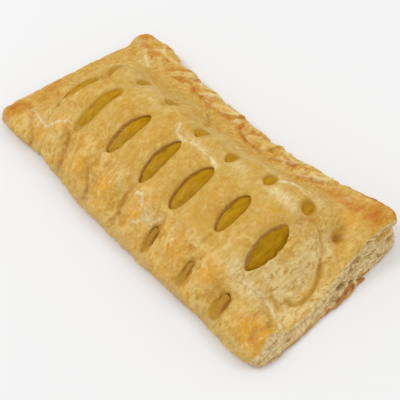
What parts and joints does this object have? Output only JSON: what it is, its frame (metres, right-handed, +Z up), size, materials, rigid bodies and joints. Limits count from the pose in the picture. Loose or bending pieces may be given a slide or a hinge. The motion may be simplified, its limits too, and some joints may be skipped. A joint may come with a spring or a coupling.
{
  "type": "fruit turnover pie",
  "caption": "Baked puff-pastry pineapple pie: one folded, sealed sheet with a slit dome, crimped long edge and layered cut end, over a thick glossy fruit filling.",
  "frame": {"origin": "centre of the pie's footprint, on the underside it rests on", "axes": "+X along the length, towards the open layered end; +Y towards the crimped long side; +Z up"},
  "size_m": [0.1342, 0.0688, 0.0236],
  "materials": {
    "baked_pastry": "golden baked puff pastry: satin egg-washed top, browner corners and crimps, pale flaky layers at the cut end",
    "pineapple_jam": "thick, glossy, translucent olive-yellow pineapple jam with soft fruit shreds"
  },
  "bodies": {
    "root": {"pastry_crust": "baked_pastry", "pineapple_filling": "pineapple_jam"}
  },
  "joints": []
}
